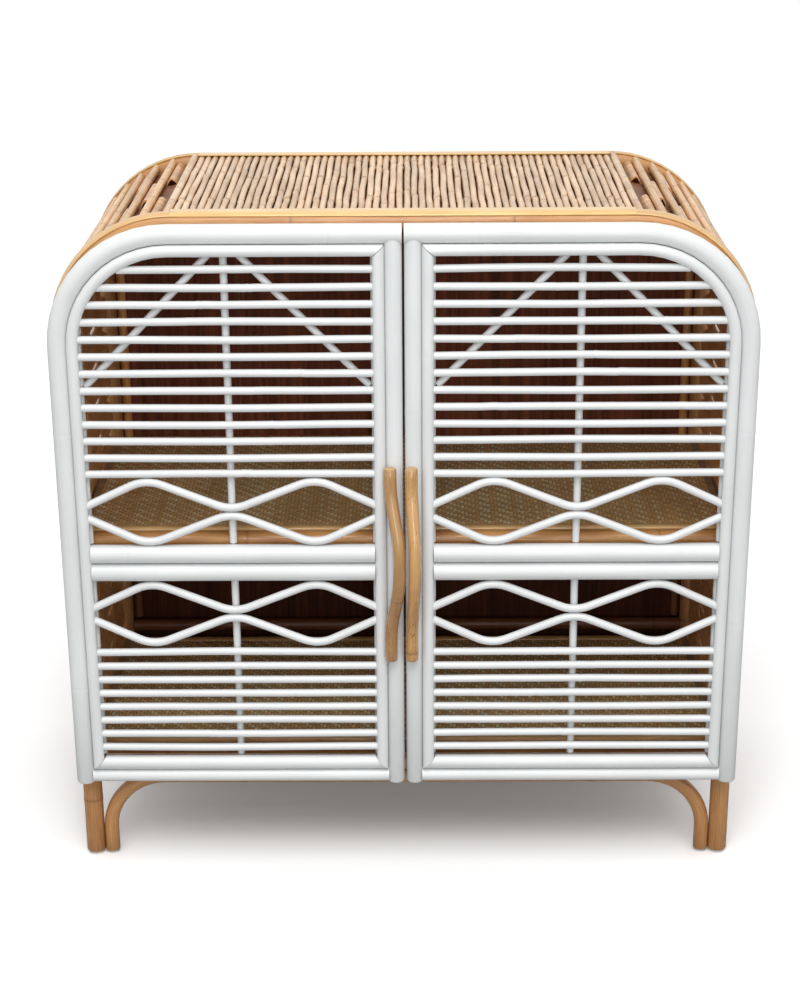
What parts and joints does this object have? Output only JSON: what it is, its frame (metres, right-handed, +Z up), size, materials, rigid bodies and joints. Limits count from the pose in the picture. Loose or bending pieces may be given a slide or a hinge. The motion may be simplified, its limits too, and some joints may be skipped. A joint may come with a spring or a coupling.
{
  "type": "record cabinet",
  "caption": "Rattan record cabinet with a bent pole frame, a deck of sticks, woven sides, and white slatted doors with waved rods and natural handles.",
  "frame": {"origin": "on the floor under the middle of the cabinet", "axes": "+Z up, +X to the right seen from the front, +Y to the back, so the doors face -Y"},
  "size_m": [1, 0.524, 1.012],
  "materials": {
    "pole_rattan": "satin, varnished natural rattan pole",
    "deck_rattan": "satin, unpeeled rattan sticks",
    "peel_strip": "gloss, flat rattan peel",
    "woven_core": "gloss, varnished rattan core",
    "mat_weave": "matte, twill-woven seagrass",
    "board_wood": "matte plywood",
    "panel_wood": "satin, dark stained plywood",
    "white_paint": "satin white paint on rattan",
    "handle_rattan": "gloss natural rattan",
    "hinge_steel": "brushed",
    "catch_plastic": "matte brown",
    "glide_plastic": "matte off-white"
  },
  "bodies": {
    "carcass": {"front_hoop": "pole_rattan", "back_hoop": "pole_rattan", "front_leg_brace": "pole_rattan", "back_leg_brace": "pole_rattan", "leg_glides": "glide_plastic", "bottom_shelf_rails": "pole_rattan", "mid_shelf_rails": "pole_rattan", "bottom_shelf_board": "board_wood", "mid_shelf_board": "board_wood", "bottom_shelf_mat": "mat_weave", "mid_shelf_mat": "mat_weave", "bottom_shelf_border": "pole_rattan", "mid_shelf_border": "pole_rattan", "deck_board": "board_wood", "deck_sticks": "deck_rattan", "deck_end_sticks": "deck_rattan", "deck_strips": "peel_strip", "front_edge_strips": "peel_strip", "back_edge_strips": "peel_strip", "right_corner_rods": "deck_rattan", "left_corner_rods": "deck_rattan", "right_side_rods": "deck_rattan", "left_side_rods": "deck_rattan", "right_side_bands": "woven_core", "left_side_bands": "woven_core", "back_panel": "panel_wood", "back_trims": "pole_rattan", "frame_hinge_leaves": "hinge_steel", "door_catch": "catch_plastic"},
    "left_door": {"left_outer_pole": "white_paint", "left_stile": "white_paint", "left_bottom_rail": "white_paint", "left_inner_bow": "white_paint", "left_inner_stile": "white_paint", "left_inner_sill": "white_paint", "left_mid_rails": "white_paint", "left_upper_slats": "white_paint", "left_lower_slats": "white_paint", "left_uprights": "white_paint", "left_diagonals": "white_paint", "left_waves": "white_paint", "left_handle": "handle_rattan", "left_hinge_leaves": "hinge_steel", "left_catch_plate": "hinge_steel"},
    "right_door": {"right_outer_pole": "white_paint", "right_stile": "white_paint", "right_bottom_rail": "white_paint", "right_inner_bow": "white_paint", "right_inner_stile": "white_paint", "right_inner_sill": "white_paint", "right_mid_rails": "white_paint", "right_upper_slats": "white_paint", "right_lower_slats": "white_paint", "right_uprights": "white_paint", "right_diagonals": "white_paint", "right_waves": "white_paint", "right_handle": "handle_rattan", "right_hinge_leaves": "hinge_steel", "right_catch_plate": "hinge_steel"}
  },
  "joints": [
    {"name": "left_door_hinge", "type": "hinge", "parent": "carcass", "child": "left_door", "pos_m": [-0.4965, -0.19311, 0.5], "axis": [0, 0, -1], "range_deg": [0, 110]},
    {"name": "right_door_hinge", "type": "hinge", "parent": "carcass", "child": "right_door", "pos_m": [0.4965, -0.19311, 0.5], "axis": [0, 0, 1], "range_deg": [0, 110]}
  ]
}
